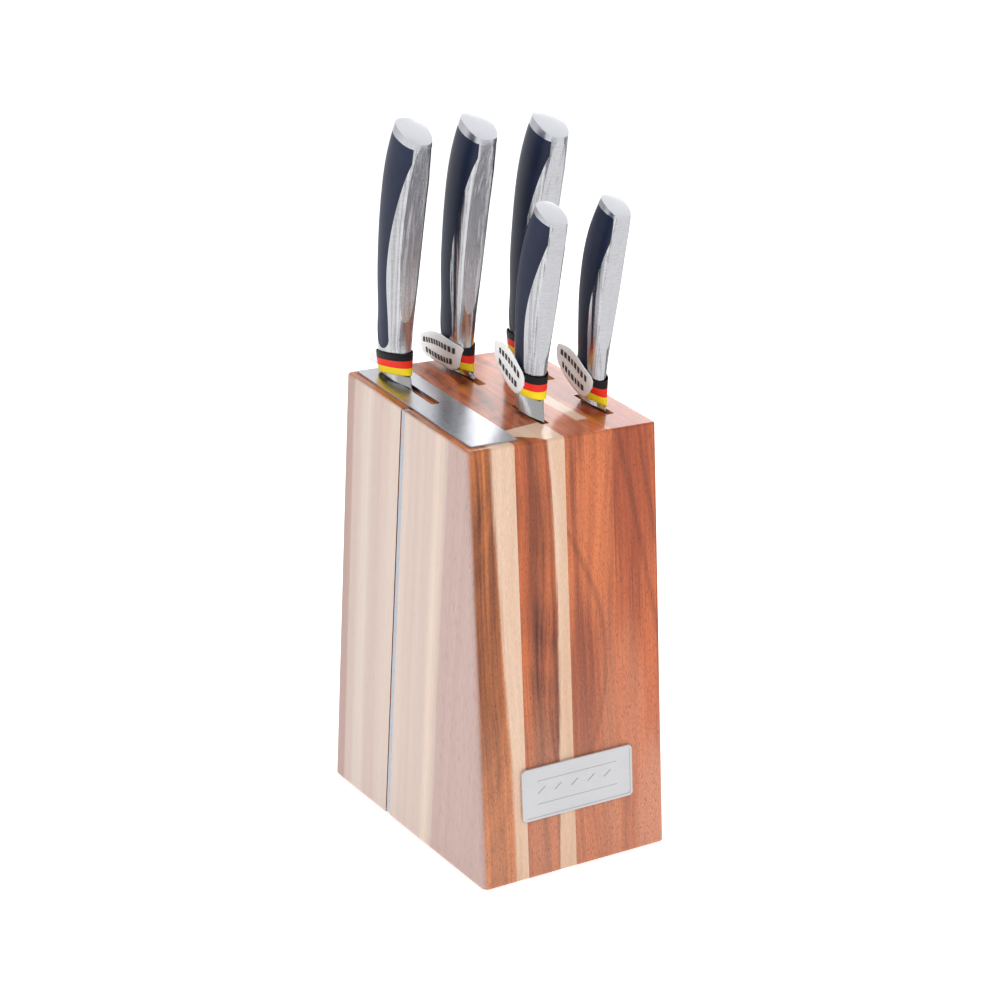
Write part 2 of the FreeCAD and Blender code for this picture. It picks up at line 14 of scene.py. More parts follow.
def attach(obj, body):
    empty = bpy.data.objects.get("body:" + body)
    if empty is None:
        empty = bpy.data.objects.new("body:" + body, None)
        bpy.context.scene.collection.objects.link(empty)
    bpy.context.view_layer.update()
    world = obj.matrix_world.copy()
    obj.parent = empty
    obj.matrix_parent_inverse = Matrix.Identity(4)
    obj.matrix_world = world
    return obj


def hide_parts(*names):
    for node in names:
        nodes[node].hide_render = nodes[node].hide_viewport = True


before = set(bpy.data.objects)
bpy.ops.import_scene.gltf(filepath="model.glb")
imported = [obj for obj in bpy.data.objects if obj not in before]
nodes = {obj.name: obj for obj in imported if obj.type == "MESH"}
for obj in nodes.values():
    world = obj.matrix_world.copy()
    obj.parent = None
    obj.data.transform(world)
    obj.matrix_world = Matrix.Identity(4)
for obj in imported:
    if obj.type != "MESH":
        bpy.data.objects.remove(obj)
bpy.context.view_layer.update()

MM = 0.001
TILT = math.radians(6.0)                    # slots and rear face lean forward, the top face slopes
COS_TILT, SIN_TILT = math.cos(TILT), math.sin(TILT)
TOP_FRONT_Y, TOP_FRONT_Z = 14.27, 204.0     # front edge of the top face, from the front bottom edge
ROW_SHIFT = Vector((-50.0, -75.5, 1.0))


def slot_to_row(x, s, h):
    """Millimetres in the slot frame to metres in the row frame."""
    y = TOP_FRONT_Y + s * COS_TILT - h * SIN_TILT
    z = TOP_FRONT_Z + s * SIN_TILT + h * COS_TILT
    return (Vector((x, y, z)) + ROW_SHIFT) * MM


def dress(node, material):
    mesh = nodes[node].data
    mesh.materials.clear()
    mesh.materials.append(material)


# ---- node helpers --------------------------------------------------------------------------------
class Graph:
    """Short calls for a material's node tree."""

    def __init__(self, name):
        self.material = bpy.data.materials.new(name)
        self.material.use_nodes = True
        self.tree = self.material.node_tree
        self.tree.nodes.clear()
        self.output = self.add("ShaderNodeOutputMaterial")

    def add(self, kind, **fields):
        node = self.tree.nodes.new(kind)
        for field, value in fields.items():
            setattr(node, field, value)
        return node

    def put(self, socket, value):
        if isinstance(value, bpy.types.NodeSocket):
            self.tree.links.new(value, socket)
        else:
            socket.default_value = value

    def math(self, kind, a, b=0.0, c=0.0, clamp=False):
        node = self.add("ShaderNodeMath", operation=kind, use_clamp=clamp)
        for socket, value in zip(node.inputs, (a, b, c)):
            self.put(socket, value)
        return node.outputs[0]

    def plus(self, value, term, factor):
        """value + term * factor."""
        return self.math("ADD", value, self.math("MULTIPLY", term, factor))

    def squares(self, a, b):
        """a * a + b * b."""
        return self.math("ADD", self.math("MULTIPLY", a, a), self.math("MULTIPLY", b, b))

    def centred(self, value, depth):
        """A 0 to 1 value as a swing about zero of this depth."""
        return self.math("MULTIPLY", self.math("SUBTRACT", value, 0.5), depth)

    def smooth(self, value, low, high, to_low=0.0, to_high=1.0):
        node = self.add("ShaderNodeMapRange", interpolation_type="SMOOTHSTEP")
        for name, item in (("Value", value), ("From Min", low), ("From Max", high),
                           ("To Min", to_low), ("To Max", to_high)):
            self.put(node.inputs[name], item)
        return node.outputs["Result"]

    def mix(self, factor, a, b, blend="MIX"):
        node = self.add("ShaderNodeMix", data_type="RGBA", blend_type=blend)
        self.put(node.inputs["Factor"], factor)
        self.put(node.inputs["A"], a)
        self.put(node.inputs["B"], b)
        return node.outputs["Result"]

    def noise(self, vector, scale, detail, rough):
        node = self.add("ShaderNodeTexNoise")
        for name, item in (("Vector", vector), ("Scale", scale), ("Detail", detail), ("Roughness", rough)):
            self.put(node.inputs[name], item)
        return node.outputs["Fac"]

    def slot_space(self):
        """Coordinates in millimetres along x, along the top face and along the slots."""
        coordinates = self.add("ShaderNodeTexCoord")
        mapping = self.add("ShaderNodeMapping", vector_type="POINT")
        self.put(mapping.inputs["Vector"], coordinates.outputs["Object"])
        self.put(mapping.inputs["Rotation"], (-TILT, 0.0, 0.0))
        self.put(mapping.inputs["Scale"], (1.0 / MM, 1.0 / MM, 1.0 / MM))
        origin = slot_to_row(0.0, 0.0, 0.0) / MM
        turned = Matrix.Rotation(-TILT, 4, "X") @ origin
        self.put(mapping.inputs["Location"], tuple(-turned))
        return mapping.outputs["Vector"]

    def scaled(self, vector, scale, shift=(0.0, 0.0, 0.0)):
        mapping = self.add("ShaderNodeMapping", vector_type="POINT")
        self.put(mapping.inputs["Vector"], vector)
        self.put(mapping.inputs["Scale"], scale)
        self.put(mapping.inputs["Location"], shift)
        return mapping.outputs["Vector"]

    def split(self, vector):
        node = self.add("ShaderNodeSeparateXYZ")
        self.put(node.inputs[0], vector)
        return node.outputs

    def join(self, x, y, z):
        node = self.add("ShaderNodeCombineXYZ")
        for socket, value in zip(node.inputs, (x, y, z)):
            self.put(socket, value)
        return node.outputs[0]

    def shaded(self, colour, shade):
        """Colour multiplied by a number."""
        return self.mix(1.0, colour, self.join(shade, shade, shade), "MULTIPLY")

    def bump(self, height, strength, distance, normal=None):
        node = self.add("ShaderNodeBump")
        self.put(node.inputs["Height"], height)
        self.put(node.inputs["Strength"], strength)
        self.put(node.inputs["Distance"], distance)
        if normal is not None:
            self.put(node.inputs["Normal"], normal)
        return node.outputs["Normal"]

    def surface(self, **inputs):
        """Principled surface; keys are socket names with underscores for spaces."""
        shader = self.add("ShaderNodeBsdfPrincipled")
        for key, value in inputs.items():
            self.put(shader.inputs[key.replace("_", " ")], value)
        self.tree.links.new(shader.outputs[0], self.output.inputs["Surface"])
        return self.material


def srgb(red, green, blue):
    """0 to 255 screen colour to a linear shader colour."""
    def linear(value):
        value /= 255.0
        return value / 12.92 if value <= 0.04045 else ((value + 0.055) / 1.055) ** 2.4
    return (linear(red), linear(green), linear(blue), 1.0)


# ---- wood ----------------------------------------------------------------------------------------
# noise frequencies per millimetre along x, s and h
SLOW_DRIFT = (0.012, 0.012, 0.005)
WIDE_DRIFT = (0.05, 0.03, 0.010)
STREAK_GRAIN = (0.16, 0.016, 0.0034)
FIBRE_GRAIN = (0.9, 0.05, 0.013)
FINE_GRAIN = (4.5, 2.0, 0.07)
PORE_GRAIN = (5.2, 3.0, 0.22)
# how much of the dark tone the rings, streaks and fibres each bring
RING_DEPTH, STREAK_DEPTH, FIBRE_DEPTH = 0.40, 0.70, 0.36
TOP_SKIN = (-3.0, -0.6)                     # h over which a mark of the top face fades in
LINE_RUN = -0.005                           # share of a line's run down the block per millimetre of h

SAP = srgb(226, 194, 170)
WARM_SAP = (SAP[0] * 0.88, SAP[1] * 0.78, SAP[2] * 0.68, 1.0)
FOOT_TONE = srgb(216, 158, 130)             # the boards grow paler towards the underside
SLOT_WALL_LIGHT = srgb(255, 176, 118)             # walls of the slots, painted light orange: painted bounce light in the slots
# the left face's pale tones below are partly the wood's own and partly painted sheen of the lacquer
SIDE_FRONT_TONE = srgb(186, 156, 148)
# bands of the left face behind the front one: (s of the front edge, colour, softness of that edge)
SIDE_BANDS = [
    (15.5, (200, 176, 164), 1.4), (20.0, (214, 192, 176), 4.0), (26.0, (202, 180, 168), 4.0),
    (52.0, (206, 186, 174), 4.0), (72.0, (198, 174, 164), 4.0), (86.0, (206, 188, 176), 4.0),
    (97.0, (196, 172, 162), 4.0), (105.0, (172, 140, 130), 1.4),
]


class Wood(Graph):
    """Node tree of a board, with the coordinates and noises that its layers share."""

    def __init__(self, name, seed):
        super().__init__(name)
        self.space = self.slot_space()
        self.x, self.s, self.h = self.split(self.space)
        slow = self.noise(self.scaled(self.space, SLOW_DRIFT, (seed, 0, 0)), 1.0, 2.0, 0.5)
        self.slow = self.math("SUBTRACT", slow, 0.5)
        wide = self.noise(self.scaled(self.space, WIDE_DRIFT, (0, seed, 0)), 1.0, 4.0, 0.55)
        self.wide = self.math("SUBTRACT", wide, 0.5)
        bent = self.plus(self.plus(self.x, self.slow, 22.0), self.wide, 3.0)
        grain = self.join(bent, self.s, self.h)
        self.streak = self.noise(self.scaled(grain, STREAK_GRAIN, (seed, 0, seed)), 1.0, 5.0, 0.62)
        self.fibre = self.noise(self.scaled(grain, FIBRE_GRAIN, (seed, seed, 0)), 1.0, 5.0, 0.62)
        self.fine = self.noise(self.scaled(self.space, FINE_GRAIN), 1.0, 3.0, 0.6)
        pores = self.noise(self.scaled(self.space, PORE_GRAIN, (0, 0, seed)), 1.0, 2.0, 0.5)
        self.pores = self.smooth(pores, 0.54, 0.66)

    def line(self, at, lean, bow):
        """Distance in x from a line that leans and bows as it runs down the block."""
        drop = self.math("MULTIPLY", self.h, LINE_RUN)
        bend = self.math("MULTIPLY", self.math("SUBTRACT", self.math("MULTIPLY", drop, drop), drop), bow)
        away = self.math("SUBTRACT", self.math("SUBTRACT", self.x, at), self.math("MULTIPLY", drop, lean))
        return self.math("SUBTRACT", away, bend)

    def rings(self, at_x, at_s, lean_x, lean_s, spacing):
        """Growth rings round the pith, 0 to 1."""
        dx = self.plus(self.math("SUBTRACT", self.x, at_x), self.h, lean_x)
        ds = self.plus(self.math("SUBTRACT", self.s, at_s), self.h, lean_s)
        radius = self.math("SQRT", self.squares(dx, ds))
        radius = self.plus(self.plus(radius, self.slow, 16.0), self.wide, 5.0)
        rings = self.noise(self.join(self.math("DIVIDE", radius, spacing), 0.0, 0.0), 1.0, 4.0, 0.62)
        return self.smooth(rings, 0.30, 0.72)

    def heartwood(self, light, dark, figure_at, pith):
        figure = self.centred(self.rings(*pith), RING_DEPTH)
        figure = self.math("ADD", figure, self.centred(self.smooth(self.streak, 0.30, 0.70), STREAK_DEPTH))
        figure = self.math("ADD", figure, self.centred(self.smooth(self.fibre, 0.30, 0.70), FIBRE_DEPTH))
        return self.mix(self.math("ADD", figure, figure_at, clamp=True), light, dark)

    def with_zone(self, colour, at_x, at_h, half_x, half_h, tone, strength):
        dx = self.math("DIVIDE", self.math("SUBTRACT", self.x, at_x), half_x)
        dh = self.math("DIVIDE", self.math("SUBTRACT", self.h, at_h), half_h)
        away = self.plus(self.squares(dx, dh), self.wide, 1.6)
        return self.mix(self.smooth(away, 0.2, 1.4, strength, 0.0), colour, tone)

    def with_streak(self, colour, tone, at, lean, bow, width, strength):
        """Dark mineral streak that fades towards the rear."""
        line = self.plus(self.line(at, lean, bow), self.wide, 5.0)
        band = self.smooth(self.math("ABSOLUTE", line), 0.0, width, strength, 0.0)
        band = self.math("MULTIPLY", band, self.smooth(self.s, 2.0, 40.0, 1.0, 0.0))
        return self.mix(band, colour, tone)

    def sapwood_share(self, crown, at, lean, bow, wander, soft):
        """1 on the +x side of a wandering line; crown moves it across the front of the top face."""
        line = self.plus(self.line(at, lean, bow), self.wide, wander)
        line = self.math("ADD", line, self.centred(self.fibre, 4.5))
        if crown:
            grow = self.smooth(self.s, 0.0, 14.0, 0.0, crown)
            shrink = self.smooth(self.s, 15.0, 24.0, 0.0, -2.2 * crown)
            line = self.plus(line, self.smooth(self.h, *TOP_SKIN), self.math("ADD", grow, shrink))
        return self.smooth(line, -soft, soft)

    def with_patch(self, colour, across, reach, front, rear):
        """Sapwood patch on the top face."""
        away = self.math("ABSOLUTE", self.plus(self.math("SUBTRACT", self.x, across), self.wide, 6.0))
        share = self.smooth(away, reach - 0.8, reach + 0.8, 1.0, 0.0)
        share = self.math("MULTIPLY", share, self.smooth(self.h, *TOP_SKIN))
        share = self.math("MULTIPLY", share, self.smooth(self.s, front - 1.5, front + 1.5))
        share = self.math("MULTIPLY", share, self.smooth(self.s, rear - 8.0, rear + 4.0, 1.0, 0.0))
        return self.mix(share, colour, SAP)

    def side_tone_and_sheen(self):
        """Grain of the left face, in bands that run up along the slots; its pale, whitish tone is partly
        the wood's own and partly painted sheen of the lacquer.
        """
        at = self.plus(self.plus(self.s, self.slow, 8.0), self.wide, 2.0)
        tone = SIDE_FRONT_TONE
        for edge, colour, soft in SIDE_BANDS:
            tone = self.mix(self.smooth(at, edge - soft, edge + soft), tone, srgb(*colour))
        fibre = self.noise(self.scaled(self.join(0.0, at, self.h), (1.0, 0.22, 0.003)), 1.0, 4.0, 0.58)
        fine = self.noise(self.scaled(self.space, (3.0, 2.6, 0.06)), 1.0, 3.0, 0.6)
        pores = self.noise(self.scaled(self.space, (3.0, 2.4, 0.14)), 1.0, 2.0, 0.5)
        depth = self.smooth(at, 12.0, 20.0, 0.34, 0.10)
        fibre_shade = self.smooth(fibre, 0.3, 0.7, 1.03, 0.95)
        shade = self.math("MULTIPLY", fibre_shade, self.smooth(fine, 0.3, 0.7, 1.02, 0.95))
        return self.shaded(tone, self.less_pores(shade, self.smooth(pores, 0.58, 0.70), depth))

    def less_pores(self, shade, pores, depth):
        """Shade darkened where the pores are."""
        return self.math("MULTIPLY", shade, self.math("SUBTRACT", 1.0, self.math("MULTIPLY", pores, depth)))

    def with_sides(self, colour):
        """The left face's grain with its partly painted sheen, and the slot walls painted light orange as
        painted bounce light.
        """
        side = self.split(self.add("ShaderNodeNewGeometry").outputs["True Normal"])[0]
        # faces turned to the left, and the rounded edge above them, take the pale side tone with its
        # painted sheen
        colour = self.mix(self.smooth(side, -0.93, -0.20, 1.0, 0.0), colour, self.side_tone_and_sheen())
        # slot walls facing along x inside the block: painted bounce light, a light orange where shade would
        # fall
        wall = self.smooth(self.math("ABSOLUTE", side), 0.85, 0.95)
        wall = self.math("MULTIPLY", wall, self.smooth(self.x, 6.0, 8.0))
        wall = self.math("MULTIPLY", wall, self.smooth(self.x, 92.0, 94.0, 1.0, 0.0))
        return self.mix(wall, colour, SLOT_WALL_LIGHT)


def wood_material(name, seed, light, dark, figure_at, pith, edges=(), streaks=(), zones=(), patch=None,
                  crown=0.0):
    """Lacquered hardwood.
    light and dark are the heartwood's tones and figure_at how much of the dark one shows.
    pith: (x, s, lean in x, lean in s, ring spacing) of the line that the growth rings run round.
    edges: (x at the top, lean, bow, wander, softness) of lines; sapwood lies on their +x side.
    streaks: (x at the top, lean, bow, half width, strength) of darker mineral streaks.
    zones: (x, h, half width, half height, tone, strength) of soft darker or lighter clouds.
    patch: (x, half width, s at the front, s at the rear) of a sapwood patch on the top face.
    crown widens the sapwood across the front of the top face, in millimetres."""
    g = Wood(name, seed)
    colour = g.heartwood(light, dark, figure_at, pith)
    for zone in zones:
        colour = g.with_zone(colour, *zone)
    streak_tone = (dark[0] * 0.55, dark[1] * 0.50, dark[2] * 0.55, 1.0)
    for streak in streaks:
        colour = g.with_streak(colour, streak_tone, *streak)
    colour = g.mix(g.smooth(g.h, -80.0, -205.0, 0.0, 0.34), colour, FOOT_TONE)
    heart = 1.0
    for edge in edges:
        share = g.sapwood_share(crown, *edge)
        colour = g.mix(share, colour, g.mix(g.smooth(g.streak, 0.34, 0.70), SAP, WARM_SAP))
        heart = g.math("SUBTRACT", heart, share, clamp=True)
    if patch:
        colour = g.with_patch(colour, *patch)
    pore_depth = g.math("ADD", g.math("MULTIPLY", heart, 0.38), 0.10)
    shade = g.less_pores(g.smooth(g.fine, 0.30, 0.75, 1.06, 0.86), g.pores, pore_depth)
    colour = g.with_sides(g.shaded(colour, shade))
    relief = g.math("SUBTRACT", g.math("MULTIPLY", g.fibre, 0.5), g.pores)
    return g.surface(Base_Color=colour, Roughness=g.smooth(g.fine, 0.3, 0.8, 0.40, 0.54),
                     Normal=g.bump(relief, 0.10, 0.0002), Specular_IOR_Level=0.2,
                     Coat_Weight=0.7, Coat_Roughness=0.14, Coat_IOR=1.55)


board_a = wood_material(
    "wood_board_a", 3.0, srgb(212, 122, 58), srgb(98, 42, 10), 0.46,
    pith=(-30.0, 90.0, 0.02, 0.03, 9.0),
    edges=[(11.6, 6.0, 0.0, 3.0, 1.5)],
    zones=[(2.0, -90.0, 8.0, 60.0, srgb(112, 50, 14), 0.35),
           (11.0, -60.0, 3.0, 90.0, srgb(108, 46, 12), 0.35)])
board_b = wood_material(
    "wood_board_b", 11.0, srgb(204, 106, 54), srgb(84, 28, 8), 0.48,
    pith=(20.0, 120.0, 0.02, 0.0, 8.0),
    edges=[(41.0, 0.0, -12.0, 3.0, 0.8)],
    streaks=[(31.5, 3.0, 4.0, 2.4, 0.40), (39.5, 1.0, -8.0, 1.6, 0.35)],
    zones=[(28.0, -40.0, 6.0, 60.0, srgb(196, 92, 40), 0.4),
           (34.0, -190.0, 9.0, 70.0, srgb(196, 122, 86), 0.45)],
    crown=16.0)
board_c = wood_material(
    "wood_board_c", 23.0, srgb(216, 116, 64), srgb(124, 48, 20), 0.34,
    pith=(120.0, -35.0, -0.05, 0.12, 13.0),
    streaks=[(15.6, 9.8, -193.7, 2.6, 0.36), (53.0, 8.0, 0.0, 2.4, 0.25)],
    zones=[(56.0, -118.0, 8.0, 62.0, srgb(122, 48, 30), 0.55),
           (64.0, -44.0, 10.0, 44.0, srgb(218, 120, 66), 0.45),
           (71.0, -150.0, 6.0, 70.0, srgb(216, 136, 96), 0.40)],
    patch=(69.5, 3.0, 16.0, 60.0))
board_d = wood_material(
    "wood_board_d", 37.0, srgb(208, 104, 54), srgb(112, 42, 16), 0.42,
    pith=(124.0, -40.0, 0.04, 0.20, 10.0),
    streaks=[(78.0, 44.0, 0.0, 3.0, 0.34), (90.0, 30.0, 0.0, 2.2, 0.34)],
    zones=[(86.0, -20.0, 13.0, 52.0, srgb(158, 62, 20), 0.55),
           (82.0, -130.0, 9.0, 44.0, srgb(220, 134, 92), 0.50),
           (95.0, -185.0, 12.0, 40.0, srgb(214, 150, 122), 0.45)])
for number, board in enumerate((board_a, board_a, board_b, board_c, board_d, board_d), start=1):
    dress("stave_%d" % number, board)


# ---- metals, plastic, paper, rubber --------------------------------------------------------------
def tipped_normal(g, height, lift):
    """Shading normal tipped upwards above the top face."""
    tipped = g.add("ShaderNodeVectorMath", operation="ADD")
    g.put(tipped.inputs[0], g.add("ShaderNodeNewGeometry").outputs["Normal"])
    g.put(tipped.inputs[1], g.join(0.0, 0.0, g.math("MULTIPLY", g.smooth(height, 0.0, 0.6), lift)))
    unit = g.add("ShaderNodeVectorMath", operation="NORMALIZE")
    g.put(unit.inputs[0], tipped.outputs[0])
    return unit.outputs[0]


def steel_material(name, tone, rough, grain_scale, strength, streak=0.10, wave=0.0, lift=0.0):
    """Brushed steel; grain_scale stretches the scratches in the slot frame.
    wave is the depth, in metres, of the long grinding waves that polishing leaves.
    lift tips the bolsters' shading upwards; it stands for rounded flanks that the mesh lacks."""
    g = Graph(name)
    space = g.slot_space()
    scratch = g.noise(g.scaled(space, grain_scale), 1.0, 4.0, 0.65)
    cloud = g.noise(g.scaled(space, (0.05, 0.05, 0.05)), 1.0, 2.0, 0.5)
    shade = g.smooth(scratch, 0.3, 0.7, 1.0 - streak, 1.0)
    shade = g.math("MULTIPLY", shade, g.smooth(cloud, 0.3, 0.7, 0.96, 1.0))
    roughness = g.math("ADD", g.math("MULTIPLY", scratch, 0.12), rough - 0.06)
    normal = tipped_normal(g, g.split(space)[2], lift) if lift else None
    normal = g.bump(scratch, strength, 0.00005, normal)
    if wave:
        long_waves = g.noise(g.scaled(space, (0.30, 0.30, 0.004)), 1.0, 2.0, 0.5)
        normal = g.bump(long_waves, 1.0, wave, normal)
    return g.surface(Base_Color=g.shaded(tone, shade), Metallic=1.0, Roughness=roughness, Normal=normal)


plate_steel = steel_material("steel_top_plate", srgb(206, 208, 215), 0.26, (9.0, 0.25, 9.0), 0.35)
strip_steel = steel_material("steel_side_strip", srgb(206, 212, 222), 0.28, (9.0, 9.0, 0.2), 0.3)
plaque_steel = steel_material("steel_name_plate", srgb(232, 232, 234), 0.30, (0.2, 9.0, 9.0), 0.35)
handle_steel = steel_material("steel_handle", srgb(222, 222, 226), 0.18, (0.25, 0.25, 5.0), 0.7,
                              streak=0.16, wave=0.00035)
cap_steel = steel_material("steel_cap", srgb(222, 224, 230), 0.30, (2.0, 2.0, 2.0), 0.1, streak=0.04)
blade_steel = steel_material("steel_blade", srgb(215, 214, 214), 0.16, (0.15, 6.0, 0.15), 0.15,
                             streak=0.05, wave=0.0002, lift=0.34)


def plastic_material():
    g = Graph("navy_inlay")
    space = g.slot_space()
    grain = g.noise(space, 3.0, 3.0, 0.6)
    cloud = g.noise(space, 0.06, 2.0, 0.5)
    colour = g.mix(g.smooth(cloud, 0.3, 0.7), srgb(20, 30, 56), srgb(26, 38, 66))
    rough = g.smooth(grain, 0.3, 0.7, 0.36, 0.46)
    return g.surface(Base_Color=colour, Roughness=rough, Specular_IOR_Level=0.35,
                     Normal=g.bump(grain, 0.10, 0.00005))


def rubber_material():
    g = Graph("rubber_foot")
    space = g.slot_space()
    grain = g.noise(space, 2.5, 4.0, 0.6)
    colour = g.mix(g.smooth(grain, 0.3, 0.7), srgb(28, 28, 29), srgb(44, 44, 45))
    return g.surface(Base_Color=colour, Roughness=0.75, Normal=g.bump(grain, 0.3, 0.0002))


def paper_material(name, tone):
    g = Graph(name)
    space = g.slot_space()
    grain = g.noise(space, 2.2, 4.0, 0.6)
    cloud = g.noise(space, 0.12, 2.0, 0.5)
    dark = (tone[0] * 0.93, tone[1] * 0.93, tone[2] * 0.93, 1.0)
    colour = g.mix(g.smooth(cloud, 0.3, 0.7), tone, dark)
    rough = g.smooth(grain, 0.3, 0.7, 0.40, 0.55)
    return g.surface(Base_Color=colour, Roughness=rough, Specular_IOR_Level=0.3,
                     Normal=g.bump(grain, 0.08, 0.00005))


navy = plastic_material()
rubber = rubber_material()
paper_white = paper_material("paper_white", srgb(250, 250, 249))
paper_black = paper_material("paper_black", srgb(22, 20, 22))
paper_red = paper_material("paper_red", srgb(244, 42, 20))
paper_gold = paper_material("paper_gold", srgb(255, 226, 22))
paper_ink = paper_material("paper_ink", srgb(70, 68, 74))


dress("top_plate", plate_steel)
dress("side_strip", strip_steel)
dress("name_plate", plaque_steel)
for node in nodes:
    if node.startswith("foot_"):
        dress(node, rubber)
    elif node.endswith("_blade"):
        dress(node, blade_steel)
    elif node.endswith("_butt_cap"):
        dress(node, cap_steel)
    elif node.endswith("_handle"):
        dress(node, handle_steel)
    elif "_inlay_" in node:
        dress(node, navy)
    elif node.endswith("_tag"):
        dress(node, paper_white)


# ---- paper tags ----------------------------------------------------------------------------------
BAND_H, LABEL_H = 10.3, 18.2
LABEL_NOSE = 2.2           # the label's blunt end reaches this far past its lens
LABEL_CORNER = 2.0         # rounding of the label's front corners
PAPER_CLEAR = 1.6          # lowest point of the paper above the top face
PAPER_THICK = 0.22
BAND_GAP, LABEL_GAP = 0.9, 1.25             # distance from the handle
BAND_LOW = 1.0             # the band follows the handle's outline down to this height
AROUND, LEVELS = 96, 18    # faces round a band and up it
COLUMNS, HEIGHTS = 60, 14  # faces along a label and up it
REAR_POWER = 2.6           # squareness of the rear half of a handle's section
BLACK, RED, GOLD, WHITE, INK = range(5)
PAPERS = [paper_black, paper_red, paper_gold, paper_white, paper_ink]
# printed bars: (share of the label's half height, bar height, inset) of each line of them
BAR_LINES = ((0.40, 2.7, 0.0), (-0.40, 2.7, 2.0))
BAR_WIDTHS = (1.2, 1.5, 1.8)
BAR_SPACE = 1.1
BAR_STEPS = 3
INK_LIFT = 0.24

# stations up a handle: (h, centre s, half depth to the front and to the rear, half thickness, power)
LARGE_STATIONS = [
    (0.4, 0.0, 18.0, 8.0, 4.3, 1.25), (6.0, 0.0, 14.2, 9.0, 5.3, 1.6), (14.0, 0.0, 10.6, 9.6, 6.6, 2.2),
    (28.0, 0.0, 10.4, 10.2, 7.3, 2.5), (46.0, -0.3, 11.4, 11.3, 8.2, 2.6),
]
SMALL_STATIONS = [
    (0.4, 0.0, 14.3, 7.0, 3.9, 1.25), (5.0, 0.0, 12.0, 7.8, 4.6, 1.6), (12.0, 0.0, 9.3, 8.5, 5.6, 2.2),
    (23.0, 0.0, 9.0, 8.9, 6.2, 2.5), (40.0, -0.3, 10.3, 10.2, 7.2, 2.6),
]
# middle and tilt are the band's; label_up raises the label above the band's middle; inset moves
# the front end of a label beside the handle rearwards; cut rounds a label's lower front corner
KNIVES = [
    {"name": "chef", "x": 17.0, "s": 99.0, "stations": LARGE_STATIONS, "slim": 0.0,
     "middle": 8.4, "tilt": -9.0, "kind": "behind", "label_tilt": -14.0, "label_end": 21.0,
     "label_up": 0.0, "cut": LABEL_CORNER},
    {"name": "carving", "x": 51.2, "s": 99.5, "stations": LARGE_STATIONS, "slim": 0.0,
     "middle": 8.8, "tilt": 0.0, "kind": "left", "label_tilt": -3.0, "label_end": 10.5,
     "label_up": 0.0, "inset": 2.5, "cut": LABEL_CORNER},
    {"name": "bread", "x": 85.9, "s": 93.5, "stations": LARGE_STATIONS, "slim": 0.0,
     "middle": 10.6, "tilt": 0.0, "kind": "right", "label_tilt": 2.0, "label_end": 6.0,
     "label_up": 0.0, "inset": 1.6, "cut": LABEL_CORNER},
    {"name": "utility", "x": 51.2, "s": 33.0, "stations": SMALL_STATIONS, "slim": 0.0,
     "middle": 15.8, "tilt": 3.0, "kind": "left", "label_tilt": 24.0, "label_end": 8.0,
     "label_up": 2.0, "inset": 5.0, "cut": 7.5},
    {"name": "paring", "x": 85.9, "s": 34.6, "stations": SMALL_STATIONS, "slim": 0.4,
     "middle": 9.8, "tilt": 9.0, "kind": "left", "label_tilt": 21.0, "label_end": 9.0,
     "label_up": 2.6, "inset": 3.0, "cut": 7.5},
]


def station_at(knife, h):
    """Centre, half depths to front and rear, half thickness and front power at a height."""
    stations = knife["stations"]
    h = min(max(h, stations[0][0]), stations[-1][0])
    for below, above in zip(stations[:-1], stations[1:]):
        if h <= above[0]:
            share = (h - below[0]) / (above[0] - below[0])
            centre, front, rear, half, power = (a + (b - a) * share for a, b in zip(below[1:], above[1:]))
            slim = knife["slim"]
            return centre, front - slim, rear - slim, half - slim, power
    return stations[-1][1:]


def ring_point(knife, h, angle, grow):
    """A point on the handle's outline at a height; angle runs from the right side to the rear."""
    centre, front, rear, half, power = station_at(knife, h)
    across, along = math.cos(angle), math.sin(angle)
    n = max(2.0 + ((power if along < 0 else REAR_POWER) - 2.0) * abs(along), 1.2)
    reach = (rear if along > 0 else front) + grow
    x = (half + grow) * math.copysign(abs(across) ** (2.0 / n), across)
    s = centre + reach * math.copysign(abs(along) ** (2.0 / n), along)
    return x, s


class Sheets:
    """Collects paper quads, each with a material number, and turns them into one mesh piece."""

    def __init__(self):
        self.points, self.faces, self.paints = [], [], []

    def grid(self, rows, paint_of_row, closed=False):
        """rows of points, all the same length; paint_of_row gives the material between two rows."""
        start = len(self.points)
        count = len(rows[0])
        for row in rows:
            self.points.extend(row)
        for i in range(len(rows) - 1):
            for j in range(count if closed else count - 1):
                k = (j + 1) % count
                self.faces.append((start + i * count + j, start + i * count + k,
                                   start + (i + 1) * count + k, start + (i + 1) * count + j))
                self.paints.append(paint_of_row(i))

    def piece(self, name, materials, knife, thick):
        mesh = bpy.data.meshes.new(name)
        places = [slot_to_row(x + knife["x"], s + knife["s"], h) for x, s, h in self.points]
        mesh.from_pydata(places, [], self.faces)
        for material in materials:
            mesh.materials.append(material)
        mesh.polygons.foreach_set("material_index", self.paints)
        mesh.polygons.foreach_set("use_smooth", [True] * len(self.faces))
        item = bpy.data.objects.new(name, mesh)
        bpy.context.scene.collection.objects.link(item)
        solid = item.modifiers.new("paper", "SOLIDIFY")
        solid.thickness = thick * MM
        solid.offset = 0.0
        return item


def label_half_height(along, start, end, corner):
    """Half height of a label at a distance along it: a lens with a rounded front corner and a nose."""
    if along > end:
        return BAND_H / 2 * math.sqrt(max(0.0, 1 - ((along - end) / LABEL_NOSE) ** 2))
    middle, reach = (start + end) / 2, (end - start) / 2
    lens = BAND_H / 2 + (LABEL_H - BAND_H) / 2 * (1 - ((along - middle) / reach) ** 2)
    into = along - start
    if into < corner:
        lens -= corner * (1 - math.sqrt(max(0.0, 1 - ((corner - into) / corner) ** 2)))
    return lens


